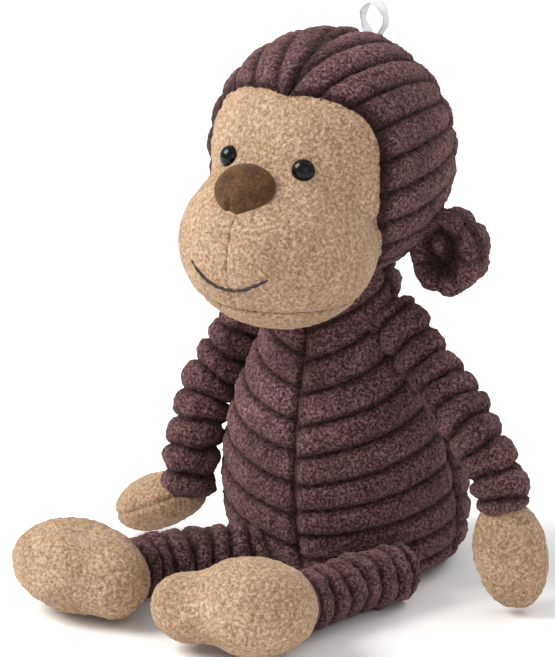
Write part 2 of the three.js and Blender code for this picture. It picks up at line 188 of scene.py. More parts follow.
class Finish:
    def __init__(self, name, constants):
        self.material = bpy.data.materials.new(name)
        self.material.use_nodes = True
        self.tree = self.material.node_tree
        self.shader = next(n for n in self.tree.nodes if n.type == "BSDF_PRINCIPLED")
        for socket, value in constants.items():
            self.shader.inputs[socket].default_value = value

    def feed(self, socket, value):
        if isinstance(value, Wire):
            self.tree.links.new(value.socket, socket)
        else:
            socket.default_value = value

    def node(self, kind, settings, inputs, output=0):
        made = self.tree.nodes.new(kind)
        for key, value in settings.items():
            if key == "stops":
                ramp = made.color_ramp
                while len(ramp.elements) < len(value):
                    ramp.elements.new(0.5)
                for element, (place, colour) in zip(ramp.elements, value):
                    element.position = place
                    element.color = colour
            else:
                setattr(made, key, value)
        for key, value in inputs.items():
            self.feed(made.inputs[key], value)
        return Wire(self, made.outputs[output])

    def place(self):
        return self.node("ShaderNodeTexCoord", {}, {}, "Object")

    def grain(self, scale, detail=2.0, roughness=0.5, distortion=0.0):
        sockets = {"Vector": self.place(), "Scale": scale, "Detail": detail}
        sockets.update({"Roughness": roughness, "Distortion": distortion})
        return self.node("ShaderNodeTexNoise", {}, sockets, 0)

    def attribute(self, name):
        return self.node("ShaderNodeAttribute", {"attribute_name": name}, {}, "Fac")

    def ramp(self, value, stops):
        return self.node("ShaderNodeValToRGB", {"stops": stops}, {0: value})

    def blend(self, factor, first, second, how="MIX"):
        settings = {"data_type": "RGBA", "blend_type": how}
        return self.node("ShaderNodeMix", settings, {0: factor, 6: first, 7: second}, 2)

    def out(self, **inputs):
        for name, value in inputs.items():
            self.feed(self.shader.inputs[name.replace("_", " ")], value)
        return self.material

    def bump(self, height, strength, distance):
        return self.node("ShaderNodeBump", {}, {"Height": height, "Strength": strength, "Distance": distance})


def paint(red, green, blue):
    def channel(value):
        value = value / 255
        return value / 12.92 if value <= 0.04045 else ((value + 0.055) / 1.055) ** 2.4
    return (channel(red), channel(green), channel(blue), 1.0)


cordLook = {
    # deep is the painted shade colour at the bottom of grooves and seams; dark, mid and light are the pile's
    # own random tones
    "deep": paint(34, 16, 20), "dark": paint(42, 24, 28),
    "mid": paint(92, 63, 65), "light": paint(148, 114, 114),
    "nub": 900, "thread": 1700, "bump": 1.0,
}


def cordMaterial():
    look = cordLook
    cord = Finish("brown_cord", {"Roughness": 0.95, "Specular IOR Level": 0.15})
    cord.shader.inputs["Sheen Weight"].default_value = 0.35
    cord.shader.inputs["Sheen Roughness"].default_value = 0.5
    cord.shader.inputs["Sheen Tint"].default_value = paint(190, 150, 150)
    nubs = cord.grain(look["nub"], 2.0, 0.6)
    threads = cord.grain(look["thread"], 2.0, 0.7)
    patches = cord.grain(55, 2.0)
    speck = nubs * 0.62 + threads * 0.38
    pile = cord.ramp(speck, [(0.4, look["dark"]), (0.5, look["mid"]), (0.63, look["light"])])
    # painted shade: the groove attribute darkens the colour to the deep tone at the bottom of the grooves
    # between wales and rings, in seams and in the ear hollows; ridge tops keep their full colour
    shadeStops = [(0.0, look["deep"]), (0.5, paint(150, 136, 136)), (0.9, (1, 1, 1, 1))]
    shade = cord.ramp(cord.attribute("groove"), shadeStops)
    worn = cord.ramp(patches, [(0.3, paint(205, 205, 205)), (0.7, (1, 1, 1, 1))])
    colour = cord.blend(1.0, cord.blend(1.0, pile, shade, "MULTIPLY"), worn, "MULTIPLY")
    return cord.out(Base_Color=colour, Normal=cord.bump(speck, look["bump"], 1.2 * mm))


plushLook = {
    "dark": paint(134, 100, 69), "mid": paint(178, 147, 117), "light": paint(212, 188, 163),
    "curl": 760, "fibre": 1700, "bump": 1.0,
}


def plushMaterial():
    look = plushLook
    plush = Finish("tan_plush", {"Roughness": 0.95, "Specular IOR Level": 0.15})
    plush.shader.inputs["Sheen Weight"].default_value = 0.3
    plush.shader.inputs["Sheen Roughness"].default_value = 0.5
    plush.shader.inputs["Sheen Tint"].default_value = paint(240, 222, 200)
    curls = plush.grain(look["curl"], 2.0, 0.6, 0.35)
    fibres = plush.grain(look["fibre"], 2.0, 0.7)
    patches = plush.grain(40, 2.0)
    speck = curls * 0.66 + fibres * 0.34
    pile = plush.ramp(speck, [(0.34, look["dark"]), (0.5, look["mid"]), (0.64, look["light"])])
    # painted shade: the groove attribute darkens the tan toward (120, 92, 74) along seams, creases and the
    # edge of the face
    shade = plush.ramp(plush.attribute("groove"), [(0.0, paint(120, 92, 74)), (0.6, (1, 1, 1, 1))])
    worn = plush.ramp(patches, [(0.3, paint(226, 222, 218)), (0.7, (1, 1, 1, 1))])
    colour = plush.blend(1.0, plush.blend(1.0, pile, shade, "MULTIPLY"), worn, "MULTIPLY")
    return plush.out(Base_Color=colour, Normal=plush.bump(speck, look["bump"], 1.0 * mm))


def suedeMaterial():
    suede = Finish("suede", {"Roughness": 0.85, "Specular IOR Level": 0.25})
    suede.shader.inputs["Sheen Weight"].default_value = 0.25
    suede.shader.inputs["Sheen Tint"].default_value = paint(190, 160, 130)
    nap = suede.grain(900, 3.0, 0.65)
    rub = suede.grain(160, 2.0)
    stops = [(0.36, paint(52, 33, 19)), (0.52, paint(82, 55, 33)), (0.66, paint(106, 77, 49))]
    colour = suede.ramp(nap * 0.6 + rub * 0.4, stops)
    return suede.out(Base_Color=colour, Normal=suede.bump(nap, 0.5, 0.3 * mm))


def plainMaterial(name, low, high, roughness, scale, bump, extra=None):
    plain = Finish(name, {"Roughness": roughness, **(extra or {})})
    grain = plain.grain(scale, 2.0, 0.6)
    colour = plain.ramp(grain, [(0.35, low), (0.65, high)])
    return plain.out(Base_Color=colour, Normal=plain.bump(grain, bump, 0.3 * mm))


finishes = {
    "brown_cord": cordMaterial(),
    "tan_plush": plushMaterial(),
    "suede": suedeMaterial(),
    "filling": plainMaterial("filling", paint(226, 224, 216), paint(250, 249, 246), 1.0, 500, 0.8),
    "pellet_cloth": plainMaterial("pellet_cloth", paint(205, 200, 188), paint(228, 224, 212), 0.8, 300, 0.8),
    "eye_gloss": plainMaterial("eye_gloss", paint(4, 4, 6), paint(9, 8, 10), 0.12, 40, 0.0,
                               {"Specular IOR Level": 0.2, "Coat Weight": 0.12, "Coat Roughness": 0.03}),
    "washer_plastic": plainMaterial("washer_plastic", paint(222, 221, 214), paint(236, 235, 230),
                                    0.5, 300, 0.1),
    "thread": plainMaterial("thread", paint(20, 14, 15), paint(52, 40, 40), 0.7, 2500, 0.6),
    "ribbon": plainMaterial("ribbon", paint(226, 228, 230), paint(252, 252, 253), 0.35, 1800, 0.2,
                            {"Transmission Weight": 0.35, "Sheen Weight": 0.3}),
}


def dress(piece, slotName):
    piece.data.materials.clear()
    piece.data.materials.append(finishes[slotName])
    return piece


print("materials made:", len(finishes))


# forms: balls joined by a voxel remesh, then blown up as cloth
def blob(name, balls, voxel):
    form = bmesh.new()
    for centre, half, turn in balls:
        made = bmesh.ops.create_uvsphere(form, u_segments=40, v_segments=24, radius=1)
        shape = Matrix.Translation(centre) @ turn.to_matrix().to_4x4() @ Matrix.Diagonal((*half, 1))
        bmesh.ops.transform(form, matrix=shape, verts=made["verts"])
    return remesh(toObject(name, form), voxel)


def remesh(piece, voxel):
    change = piece.modifiers.new("Remesh", "REMESH")
    change.mode = "VOXEL"
    change.voxel_size = voxel
    return bake(piece)


clothFrames = 20


def puff(piece, cap, holdWeights, pressure=4.0):
    before = readPoints(piece.data)
    group = piece.vertex_groups.new(name="held")
    levels = np.round(holdWeights * 10).astype(int)
    for level in range(1, 11):
        chosen = np.nonzero(levels == level)[0].tolist()
        if chosen:
            group.add(chosen, level / 10, "REPLACE")
    cloth = piece.modifiers.new("Cloth", "CLOTH")
    cloth.settings.quality = 5
    cloth.settings.mass = 0.2
    cloth.settings.use_pressure = True
    cloth.settings.uniform_pressure_force = pressure
    cloth.settings.effector_weights.gravity = 0
    cloth.settings.vertex_group_mass = "held"
    cloth.collision_settings.use_collision = False
    for step in range(1, clothFrames + 1):
        scene.frame_set(step)
    bake(piece)
    after = readPoints(piece.data)
    move = after - before
    size = np.linalg.norm(move, axis=1, keepdims=True)
    move *= np.minimum(1, cap / np.maximum(size, 1e-9))
    writePoints(piece.data, before + move)
    scene.frame_set(1)
    piece.vertex_groups.clear()
    return piece


def refine(piece, levels):
    change = piece.modifiers.new("Subdivision", "SUBSURF")
    change.levels = levels
    change.render_levels = levels
    return bake(piece)


def splitPanels(piece, panels, labels, wall):
    # one closed shell for each label, cut from the finished surface
    made = {}
    for name, label in panels.items():
        form = bmesh.new()
        form.from_mesh(piece.data)
        form.faces.ensure_lookup_table()
        gone = [f for f in form.faces if labels[f.index] != label]
        bmesh.ops.delete(form, geom=gone, context="FACES")
        loose = [v for v in form.verts if not v.link_faces]
        bmesh.ops.delete(form, geom=loose, context="VERTS")
        panel = toObject(name, form)
        thick = panel.modifiers.new("Solidify", "SOLIDIFY")
        thick.thickness = wall
        thick.offset = -1
        thick.use_even_offset = False
        smoothShade(panel)
        made[name] = panel
    return made


def faceValues(mesh, values):
    # the mean of a value at each face's corners
    corners = np.empty(len(mesh.loops), dtype=np.int64)
    mesh.loops.foreach_get("vertex_index", corners)
    starts = np.empty(len(mesh.polygons), dtype=np.int64)
    mesh.polygons.foreach_get("loop_start", starts)
    return np.add.reduceat(values[corners], starts) / np.diff(np.append(starts, len(corners)))


def snapTo(points, field, reach):
    # pulls the points that lie within reach of a field's zero line onto it
    value = field(points)
    nudge = 0.05 * mm
    slope = np.stack([(field(points + nudge * axis) - value) / nudge for axis in np.eye(3)], axis=1)
    steep = np.maximum(np.sum(slope * slope, axis=1, keepdims=True), 1e-9)
    close = (np.abs(value) < reach)[:, None]
    return np.where(close, points - slope / steep * value[:, None], points)


def cutAlong(piece, values):
    # new points and edges along a value's zero line, so that a seam is clean
    addGroove(piece.data, "cut", values)
    form = bmesh.new()
    form.from_mesh(piece.data)
    layer = form.verts.layers.float["cut"]
    crossed = [e for e in form.edges if e.verts[0][layer] * e.verts[1][layer] < 0]
    added = []
    for edge in crossed:
        first, last = edge.verts
        share = first[layer] / (first[layer] - last[layer])
        _, vert = bmesh.utils.edge_split(edge, first, min(max(share, 0.02), 0.98))
        vert[layer] = 0.0
        added.append(vert)
    bmesh.ops.connect_verts(form, verts=added)
    form.to_mesh(piece.data)
    form.free()


def waleRidge(along, pitch, square=2.6):
    # 1 along the middle of each wale, 0 in the groove between two
    part = np.abs(2 * ((along / pitch) % 1.0) - 1)
    return np.sqrt(np.clip(1 - part ** square, 0, 1))


def pushOut(mesh, amount):
    writePoints(mesh, readPoints(mesh) + readPoints(mesh, "normal") * amount[:, None])


def fillingInside(cover, name, body, depth, nodes):
    # a plain filling under a soft cover, the same shape a little smaller
    filling = cover.copy()
    filling.data = cover.data.copy()
    filling.name = name
    scene.collection.objects.link(filling)
    pushOut(filling.data, np.full(len(filling.data.vertices), -depth))
    addGroove(filling.data, "groove", np.ones(len(filling.data.vertices)))
    smoothShade(filling)
    dress(filling, "filling")
    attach(filling, body)
    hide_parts(*nodes)


def nubble(points, strength):
    # short pile that clumps into nubs
    return strength * (0.6 * softNoise(points, 1.5 * mm, 7) + 0.4 * softNoise(points, 0.9 * mm, 8))


# torso cover: two front panels, two back panels and the seat
torsoLook = {
    "lean": 0.13, "turn": math.radians(9), "pitch": 12.2 * mm, "ridge": 3.0 * mm,
    "dipLeft": (9 * mm, 17.5 * mm), "dipRight": (19 * mm, 13 * mm),   # at the seat and above the belly
    "shrink": 1.2 * mm, "cap": 2.6 * mm, "voxel": 4 * mm, "seamDepth": 1.1 * mm, "wall": 1.6 * mm,
    # [share of the widest radius, share of the height]
    "pear": [(0.0, 0.0), (0.74, 0.0), (0.88, 0.03), (0.955, 0.1), (0.995, 0.2), (1.0, 0.31), (0.975, 0.445),
             (0.91, 0.58), (0.82, 0.7), (0.71, 0.81), (0.61, 0.9), (0.55, 0.98), (0.5, 1.05), (0.0, 1.05)],
}
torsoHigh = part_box("torso_front_left")[1].z
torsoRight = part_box("torso_front_right")[0].x
torsoWide = max(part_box(node)[1].x - torsoRight for node in ["torso_front_left", "torso_back_left"]) / 2


def torsoAcross(points):
    # sideways and backward distance from the torso's own upright middle
    turn = torsoLook["turn"]
    flat = points[:, :2] - np.array([0, -torsoLook["lean"]]) * points[:, 2:3]
    side = flat[:, 0] * math.cos(turn) + flat[:, 1] * math.sin(turn)
    back = -flat[:, 0] * math.sin(turn) + flat[:, 1] * math.cos(turn)
    return side, back


def latheForm(outline, steps):
    # a closed turned form about +Z from points of [radius, height]
    form = bmesh.new()
    points = [form.verts.new((radius, 0, height)) for radius, height in outline]
    edges = [form.edges.new(pair) for pair in zip(points, points[1:])]
    bmesh.ops.spin(form, geom=points + edges, axis=(0, 0, 1), cent=(0, 0, 0),
                   angle=math.tau, steps=steps, use_merge=True)
    bmesh.ops.remove_doubles(form, verts=form.verts, dist=0.01 * mm)
    bmesh.ops.recalc_face_normals(form, faces=form.faces)
    return form


def torsoWale(points):
    # height along the wales, which dip toward the front seam and the back seam
    look = torsoLook
    side, back = torsoAcross(points)
    around = np.arctan2(np.abs(side), np.abs(back)) / (math.pi / 2)
    up = np.clip(points[:, 2] / (50 * mm), 0, 1)
    dipLeft = look["dipLeft"][0] + (look["dipLeft"][1] - look["dipLeft"][0]) * up
    dipRight = look["dipRight"][0] + (look["dipRight"][1] - look["dipRight"][0]) * up
    dip = np.where(side > 0, dipLeft, dipRight) * (1 - around ** 1.15)
    tuck = 0.006 / mm * np.clip(25 * mm - points[:, 2], 0, None) ** 2
    shift = np.where(side > 0, 0.0, 1.8 * mm) + np.where(back > 0, 5 * mm, 0)
    return points[:, 2] + dip - tuck + shift + 0.5 * mm * softNoise(points, 26 * mm, 3)


def makeTorso():
    look = torsoLook
    size = torsoWide + 1.0 * mm - look["shrink"]
    outline = [(share * size, max(height * torsoHigh, 0.6 * mm)) for share, height in look["pear"]]
    form = latheForm(outline, 48)
    lean = Matrix.Identity(4)
    lean[1][2] = -look["lean"]
    bmesh.ops.transform(form, matrix=lean, verts=form.verts)
    torso = remesh(toObject("torso_cover", form), look["voxel"])
    points = readPoints(torso.data)
    side, back = torsoAcross(points)
    hold = np.maximum(bell(side, 3 * mm), bell(back, 3 * mm))
    hold = np.maximum(hold, (points[:, 2] < 3 * mm) * 1.0)
    hold = np.maximum(hold, smoothStep(points[:, 2], 98 * mm, 108 * mm))
    puff(torso, look["cap"], hold)
    refine(torso, 2)
    points = readPoints(torso.data)
    for field in (lambda p: torsoAcross(p)[0], lambda p: torsoAcross(p)[1]):
        points = snapTo(points, field, 0.55 * mm)
    points[:, 2] = np.maximum(points[:, 2], 0.5 * mm)
    writePoints(torso.data, points)
    side, back = torsoAcross(points)
    height = torsoWale(points)
    ridge = waleRidge(height, look["pitch"])
    nearSeam = np.where(back < 0, bell(side, 1.7 * mm), bell(side, 2.6 * mm))
    nearSeam = np.maximum(nearSeam, bell(back, 2.6 * mm))
    above = smoothStep(points[:, 2], 1.5 * mm, 9 * mm)
    grow = look["ridge"] * (ridge - 0.45) * (1 - 0.55 * nearSeam) - look["seamDepth"] * nearSeam
    grow += nubble(points, 0.85 * mm) * (1 - 0.7 * nearSeam)
    pushOut(torso.data, grow * above)
    # painted shade mask: lower in the grooves between wales and near the seams, where the cord finish darkens
    # the colour
    addGroove(torso.data, "groove", np.clip(ridge * (1 - 0.5 * nearSeam), 0, 1))
    side, back = (faceValues(torso.data, v) for v in (side, back))
    labels = np.where(back < 0, np.where(side > 0, 0, 1), np.where(side > 0, 2, 3))
    names = ["torso_cover_front_left", "torso_cover_front_right",
             "torso_cover_back_left", "torso_cover_back_right"]
    nodes = ["torso_front_left", "torso_front_right", "torso_back_left", "torso_back_right"]
    panels = splitPanels(torso, {n: i for i, n in enumerate(names)}, labels, look["wall"])
    bpy.data.objects.remove(torso)
    for panel, node in zip(panels.values(), nodes):
        dress(panel, "brown_cord")
        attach(panel, "torso")
        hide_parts(node)
    # the seat is the underside of the same surface
    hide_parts("seat_panel")


makeTorso()
print("torso cover made")


# neck collar: two wales that join the torso to the head
collarLook = {
    "radius": 25 * mm, "low": 97 * mm, "high": 127 * mm,
    "ridge": 2.8 * mm, "seamDepth": 1.2 * mm, "voxel": 3.5 * mm,
}


def makeCollar():
    look = collarLook
    pivotAt = pivot("neck_turn")
    wide, low, high = look["radius"], look["low"], look["high"]
    outline = [(0, low), (wide * 0.9, low), (wide, low + 4 * mm),
               (wide, high - 8 * mm), (wide * 0.9, high), (0, high)]
    form = latheForm(outline, 48)
    bmesh.ops.translate(form, vec=(pivotAt.x, pivotAt.y, 0), verts=form.verts)
    collar = refine(remesh(toObject("neck_collar", form), look["voxel"]), 2)
    points = readPoints(collar.data)
    side, back = torsoAcross(points)
    ridge = waleRidge(torsoWale(points), torsoLook["pitch"])
    seam = np.maximum(bell(side, 1.7 * mm), bell(back, 2.4 * mm))
    grow = look["ridge"] * (ridge - 0.4) - look["seamDepth"] * seam + nubble(points, 0.85 * mm)
    pushOut(collar.data, grow)
    # painted shade mask: lower in the grooves between wales and at the seams
    addGroove(collar.data, "groove", ridge * (1 - 0.5 * seam))
    smoothShade(collar)
    dress(collar, "brown_cord")
    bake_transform(collar, "neck", "head", start=(0, pivotAt.y, 108 * mm), end=(0, pivotAt.y, 121 * mm))


makeCollar()
print("collar made")


# head: a cord hood in three panels, a forehead, two muzzle halves and a chin
headLook = {
    "skullAt": Vector((0, -15, 169.5)) * mm, "skull": 48.3 * mm,
    "muzzleAt": Vector((0, -52, 142)) * mm, "muzzle": Vector((41.2, 36.8, 34.2)) * mm,
    "backAt": 6 * mm, "chinAt": 122 * mm, "voxel": 4 * mm, "shrink": 1.2 * mm, "cap": 2.2 * mm,
    "faceHalf": (38.8 * mm, 31.6 * mm), "faceSquare": 2.75, "faceBack": -18 * mm, "partingAt": 3 * mm,
    "pitch": 12.8 * mm, "ridge": 3.0 * mm, "waleTurn": 0.3, "waleRise": 0.2,
    "seamDepth": 1.1 * mm, "wall": 1.6 * mm,
}
skullMid = headLook["skullAt"]
muzzleMid = headLook["muzzleAt"]


def skullDistance(points):
    return np.linalg.norm(points - np.array(skullMid), axis=1) / headLook["skull"] - 1


def muzzleDistance(points):
    return np.linalg.norm((points - np.array(muzzleMid)) / np.array(headLook["muzzle"]), axis=1) - 1


def faceEdge(points):
    # below zero inside the tan part of the face, about in metres near its edge
    look = headLook
    across = points[:, 0] / look["faceHalf"][0]
    above = (points[:, 2] - skullMid.z) / look["faceHalf"][1]
    dip = 1 - 0.035 * bell(points[:, 0] - look["partingAt"], 6 * mm) * (above > 0)
    square = look["faceSquare"]
    size = (np.abs(across) ** square + np.abs(above / dip) ** square) ** (1 / square)
    oval = (size - 1) * look["faceHalf"][1]
    oval = np.where(points[:, 1] > look["faceBack"], 20 * mm, oval)
    ball = (muzzleDistance(points) - skullDistance(points)) * 36 * mm
    soft = np.clip(0.5 + 0.5 * (ball - oval) / (3 * mm), 0, 1)
    return ball * (1 - soft) + oval * soft - 3 * mm * soft * (1 - soft)


def hoodWale(points):
    # how far up the side of the head, along the surface
    look = headLook
    away = points - np.array(skullMid)
    side = np.where(points[:, 0] > look["partingAt"], 1.0, -1.0)
    turn, rise = look["waleTurn"], look["waleRise"]
    out = away[:, 0] * side * math.cos(turn) - away[:, 1] * math.sin(turn)
    back = away[:, 0] * side * math.sin(turn) + away[:, 1] * math.cos(turn)
    up = (away[:, 2] - rise * back) / math.hypot(1, rise)
    return np.arctan2(up, out) * look["skull"]


def makeHead():
    look = headLook
    less = look["shrink"]
    backAt, chinAt = look["backAt"], look["chinAt"]
    balls = [(skullMid, Vector([look["skull"] - less] * 3), Quaternion()),
             (muzzleMid, look["muzzle"] - Vector([less] * 3), Quaternion())]
    head = blob("head_cover", balls, look["voxel"])
    # soften the fold between the brow and the muzzle
    relax(head.data, 4, lambda v: v.co.y < -48 * mm and v.co.z > 150 * mm and abs(v.co.x) < 34 * mm)
    points = readPoints(head.data)
    face = faceEdge(points)
    hold = np.maximum(bell(face, 3 * mm), bell(points[:, 1] - backAt, 3 * mm) * (face > 0))
    hold = np.maximum(hold, bell(points[:, 0], 3 * mm) * (points[:, 2] < 160 * mm))
    puff(head, look["cap"], hold)
    refine(head, 2)
    points = readPoints(head.data)
    cutAlong(head, faceEdge(points))
    cutAlong(head, readPoints(head.data)[:, 1] - backAt)
    cutAlong(head, readPoints(head.data)[:, 0] - look["partingAt"])
    points = readPoints(head.data)
    face = faceEdge(points)
    brown = smoothStep(face, -0.2 * mm, 0.3 * mm)
    wale = hoodWale(points) + 0.5 * mm * softNoise(points, 24 * mm, 5)
    wale = np.where(points[:, 1] > backAt, (points[:, 2] - skullMid.z) * 1.08, wale)
    ridge = waleRidge(wale + 3 * mm, look["pitch"])
    backSeam = bell(points[:, 1] - backAt, 2.6 * mm)
    parting = bell(points[:, 0] - look["partingAt"], 2.6 * mm) * (points[:, 2] > skullMid.z)
    seam = np.maximum(np.maximum(backSeam, parting), bell(face, 1.6 * mm)) * brown
    hood = look["ridge"] * (ridge - 0.3) * (1 - 0.5 * seam) - look["seamDepth"] * seam
    hood += nubble(points, 0.85 * mm)
    centre = bell(points[:, 0] - 0.5 * mm, 1.1 * mm) * (points[:, 1] < -60 * mm) * (points[:, 2] < 164 * mm)
    ball = muzzleDistance(points) - skullDistance(points)
    chin = bell(points[:, 2] - chinAt, 1.1 * mm) * (ball < 0)
    crease = bell(ball, 0.05) * smoothStep(np.abs(points[:, 0]), 22 * mm, 33 * mm)
    crease *= (points[:, 1] < -38 * mm)
    tanSeam = np.maximum(np.maximum(0.45 * centre, chin), 0.35 * crease)
    tan = -0.9 * mm * tanSeam + nubble(points, 0.5 * mm) - 0.7 * mm * bell(face, 1.4 * mm)
    pushOut(head.data, brown * hood + (1 - brown) * tan)
    # painted shade mask: darker in the hood's grooves and seams, and on the tan face along the centre and chin
    # seams, the brow crease and the edge of the face
    tanShade = (1 - 0.7 * tanSeam) * (1 - 0.5 * bell(face, 1.0 * mm))
    groove = brown * ridge * (1 - 0.8 * seam) + (1 - brown) * tanShade
    addGroove(head.data, "groove", np.clip(groove, 0, 1))
    smooth = {"face": face, "ball": ball, "x": points[:, 0], "y": points[:, 1], "z": points[:, 2]}
    at = {key: faceValues(head.data, value) for key, value in smooth.items()}
    labels = np.where(at["y"] > backAt, 2, np.where(at["x"] > look["partingAt"], 0, 1))
    tanLabels = np.where(at["ball"] > 0, 3, np.where(at["z"] < chinAt, 6, np.where(at["x"] > 0, 4, 5)))
    labels = np.where(at["face"] > 0, labels, tanLabels)
    names = ["hood_left", "hood_right", "hood_back", "forehead",
             "muzzle_half_left", "muzzle_half_right", "chin"]
    nodes = ["head_side_left", "head_side_right", "head_back", "forehead_panel",
             "muzzle_left", "muzzle_right", "chin_panel"]
    panels = splitPanels(head, {n: i for i, n in enumerate(names)}, labels, look["wall"])
    surface = BVHTree.FromObject(head, bpy.context.evaluated_depsgraph_get())
    bpy.data.objects.remove(head)
    for (name, panel), node in zip(panels.items(), nodes):
        dress(panel, "brown_cord" if name.startswith("hood") else "tan_plush")
        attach(panel, "head")
        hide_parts(node)
    return surface


headSurface = makeHead()
print("head cover made")


def onHead(x, z, proud=0.0):
    hit, normal, _, _ = headSurface.ray_cast(Vector((x, -0.3, z)), Vector((0, 1, 0)))
    return hit + normal * proud


# eyes: glossy domes, cut flat behind the cover
eyeLook = {
    "radius": 4.6 * mm, "rise": 3.9 * mm, "back": 1.6 * mm, "sink": 0.6 * mm,
    "shift": (-1.1 * mm, -5.9 * mm),
}


def makeEye(side):
    look = eyeLook
    node = f"eye_{side}"
    at = middle(node)
    hit = onHead(at.x + look["shift"][0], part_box(node)[1].z + look["shift"][1])
    out = (hit - skullMid).normalized()
    form = bmesh.new()
    bmesh.ops.create_uvsphere(form, u_segments=48, v_segments=32, radius=look["radius"])
    shape = Matrix.Diagonal((1, 1, look["rise"] / look["radius"], 1))
    bmesh.ops.transform(form, matrix=shape, verts=form.verts)
    cut = bmesh.ops.bisect_plane(form, geom=form.verts[:] + form.edges[:] + form.faces[:], dist=1e-6,
                                 plane_co=(0, 0, -look["back"]), plane_no=(0, 0, -1), clear_outer=True)
    rim = [e for e in cut["geom_cut"] if isinstance(e, bmesh.types.BMEdge)]
    bmesh.ops.contextual_create(form, geom=rim)
    turn = out.to_track_quat("Z", "Y").to_matrix().to_4x4()
    bmesh.ops.transform(form, matrix=Matrix.Translation(hit - out * look["sink"]) @ turn, verts=form.verts)
    bmesh.ops.recalc_face_normals(form, faces=form.faces)
    eye = toObject(f"eye_dome_{side}", form)
    smoothShade(eye)
    dress(eye, "eye_gloss")
    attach(eye, "head")
    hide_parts(node)


for side in ("left", "right"):
    makeEye(side)


# nose: a padded suede oval
noseLook = {
    "half": (13.2 * mm, 11.4 * mm, 7.8 * mm), "shift": (-1.7 * mm, 3.4 * mm), "tilt": math.radians(38),
    "sink": 1.6 * mm, "voxel": 1.6 * mm, "nub": 0.12 * mm,
}


def makeNose():
    look = noseLook
    hit = onHead(look["shift"][0], middle("nose_cover").z + look["shift"][1])
    out = Vector((0, -math.cos(look["tilt"]), math.sin(look["tilt"])))
    turn = out.to_track_quat("Z", "Y").to_matrix().to_4x4()
    form = bmesh.new()
    bmesh.ops.create_uvsphere(form, u_segments=40, v_segments=24, radius=1)
    bmesh.ops.transform(form, matrix=Matrix.Diagonal((*look["half"], 1)), verts=form.verts)
    nose = refine(remesh(toObject("nose_pad", form), look["voxel"]), 1)
    points = readPoints(nose.data)
    # wider across the top, gathered to a soft point at the bottom
    down = np.clip(-points[:, 1] / look["half"][1], 0, 1)
    points[:, 0] *= 1 - 0.3 * down ** 2
    points[:, 2] -= 1.2 * mm * bell(points[:, 0], 2.5 * mm) * down ** 2
    gather = bell(points[:, 0] + 1.5 * mm, 0.8 * mm) * smoothStep(-points[:, 1], 2 * mm, 7 * mm)
    points[:, 2] += 0.3 * mm * softNoise(points, 7 * mm, 11) - 0.7 * mm * gather
    writePoints(nose.data, points)
    nose.data.transform(Matrix.Translation(hit - out * look["sink"]) @ turn)
    fillingInside(nose, "nose_filling", "head", 1.4 * mm, ["nose_padding"])
    pushOut(nose.data, look["nub"] * softNoise(readPoints(nose.data), 1.0 * mm, 12))
    smoothShade(nose)
    dress(nose, "suede")
    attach(nose, "head")
    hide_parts("nose_cover")


makeNose()
print("eyes and nose made")


# tubes along a path, from a ball whose rows are laid along it
def spline(points, count):
    # an even run of places on a smooth curve through the points
    points = [Vector(p) for p in points]
    ends = [points[0] * 2 - points[1]] + points + [points[-1] * 2 - points[-2]]
    run = []
    for i in range(1, len(ends) - 2):
        a, b, c, d = ends[i - 1:i + 3]
        for k in range(24):
            t = k / 24
            bow = (2 * a - 5 * b + 4 * c - d) * t * t
            twist = (3 * b - a - 3 * c + d) * t ** 3
            run.append(0.5 * (2 * b + (c - a) * t + bow + twist))
    run = np.array(run + [points[-1]])
    reach = np.concatenate([[0], np.cumsum(np.linalg.norm(np.diff(run, axis=0), axis=1))])
    even = np.linspace(0, reach[-1], count)
    return np.stack([np.interp(even, reach, run[:, k]) for k in range(3)], axis=1), reach[-1]


def tubeForm(name, path, flat, around, rows, size):
    # size(share, angle, length) gives the two half widths at each point
    form = bmesh.new()
    bmesh.ops.create_uvsphere(form, u_segments=around, v_segments=rows, radius=1)
    tube = toObject(name, form)
    ball = readPoints(tube.data)
    share = np.arccos(np.clip(-ball[:, 2], -1, 1)) / math.pi
    angle = np.arctan2(ball[:, 1], ball[:, 0])
    stops = 400
    line, length = spline(path, stops)
    tangent = np.gradient(line, axis=0)
    tangent /= np.linalg.norm(tangent, axis=1, keepdims=True)
    wide = np.cross(np.array(flat), tangent)
    wide /= np.linalg.norm(wide, axis=1, keepdims=True)
    deep = np.cross(tangent, wide)
    place = share * (stops - 1)

    def pick(rows):
        return np.stack([np.interp(place, np.arange(stops), rows[:, k]) for k in range(3)], axis=1)

    halfWide, halfDeep = size(share, angle, length)
    # both ends close over a length of 5 mm
    fromEnd = np.clip(np.minimum(share, 1 - share) * length / (5 * mm), 0, 1)
    closing = np.sqrt(np.clip(1 - (1 - fromEnd) ** 2, 0, 1))
    points = pick(line) + pick(wide) * (np.cos(angle) * halfWide * closing)[:, None]
    points += pick(deep) * (np.sin(angle) * halfDeep * closing)[:, None]
    writePoints(tube.data, points)
    form = bmesh.new()
    form.from_mesh(tube.data)
    bmesh.ops.recalc_face_normals(form, faces=form.faces)
    form.to_mesh(tube.data)
    form.free()
    smoothShade(tube)
    return tube, share, angle, length


# smile: a twisted thread laid on the muzzle
smileLook = {
    "half": 0.62 * mm, "twist": 1.9 * mm, "proud": 0.25 * mm,
    # sideways and up, in millimetres, from the monkey's right to its left
    "marks": [(-19, 139.6), (-14.5, 136), (-10, 133.4), (-4.5, 131.9),
              (1.2, 131.5), (6, 132.4), (10, 134.2), (16.5, 137.8)],
}


def makeSmile():
    look = smileLook
    path = [onHead(x * mm, z * mm, look["proud"]) for x, z in look["marks"]]

    def size(share, angle, length):
        ply = 1 + 0.22 * np.cos(2 * angle + share * length / look["twist"] * math.pi)
        return look["half"] * ply, look["half"] * ply

    smile, _, _, _ = tubeForm("smile_thread", path, (0, -1, 0), 12, 260, size)
    dress(smile, "thread")
    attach(smile, "head")
    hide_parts("mouth_stitch")


makeSmile()


# hang loop: a folded ribbon whose tails go into the parting
loopLook = {"half": (2.7 * mm, 0.3 * mm), "tail": 1 * mm, "rise": 3.4 * mm, "spread": 0.6 * mm}


